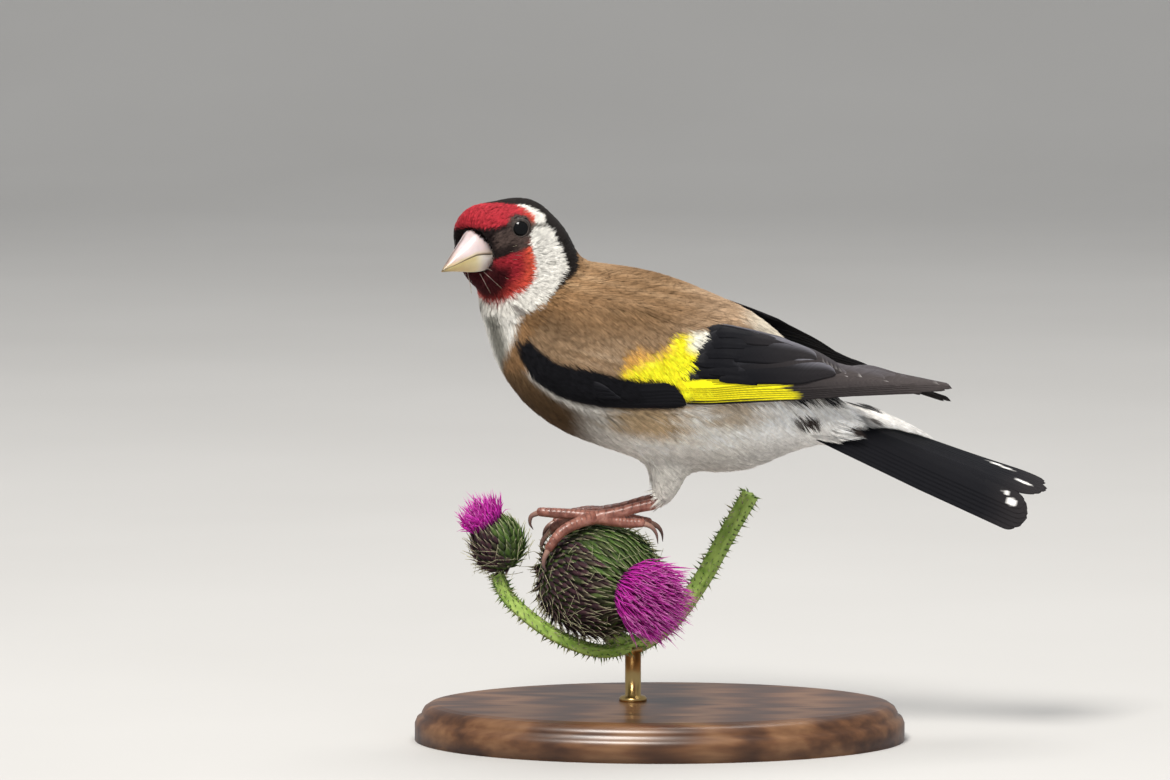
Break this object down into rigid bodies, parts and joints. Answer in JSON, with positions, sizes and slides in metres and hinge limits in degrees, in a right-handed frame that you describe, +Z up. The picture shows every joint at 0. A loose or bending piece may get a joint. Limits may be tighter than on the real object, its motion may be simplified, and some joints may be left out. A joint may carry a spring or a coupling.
{
  "type": "european goldfinch",
  "caption": "European goldfinch, a life-size still model with a red face and yellow wing bar, head turned, gripping a thistle on a plain wooden display stand.",
  "frame": {"origin": "centre of the underside of the stand's base", "axes": "+Z up, the bird faces -X with its tail towards +X, and its left side is towards -Y"},
  "size_m": [0.1185, 0.062, 0.1032],
  "materials": {
    "feather_brown": "soft feathers, tawny brown",
    "feather_red": "soft feathers, deep red",
    "feather_white": "soft feathers, white to buff",
    "feather_black": "satin flight feathers, black",
    "horn_pink": "smooth horn, pinkish ivory",
    "eye_black": "wet gloss",
    "leg_pink": "scaled skin, pinkish brown",
    "claw_horn": "smooth horn",
    "thistle_green": "matt plant green with fine spines",
    "thistle_purple": "soft florets",
    "stand_wood": "satin varnish",
    "stand_brass": "polished"
  },
  "bodies": {
    "root": {"bill_lower": "horn_pink", "bill_upper": "horn_pink", "claw_left_1": "claw_horn", "claw_left_2": "claw_horn", "claw_left_3": "claw_horn", "claw_left_4": "claw_horn", "claw_right_1": "claw_horn", "claw_right_2": "claw_horn", "claw_right_3": "claw_horn", "claw_right_4": "claw_horn", "eye_left": "eye_black", "eye_right": "eye_black", "foot_left": "leg_pink", "foot_right": "leg_pink", "head": "feather_red", "neck": "feather_white", "perch_florets": "thistle_purple", "perch_florets_front": "thistle_purple", "perch_head": "thistle_green", "perch_head_front": "thistle_green", "perch_stem": "thistle_green", "stand_base": "stand_wood", "stand_rod": "stand_brass", "tail": "feather_black", "thigh_left": "feather_white", "thigh_right": "feather_white", "trunk": "feather_brown", "wing_left": "feather_black", "wing_right": "feather_black"}
  },
  "joints": []
}
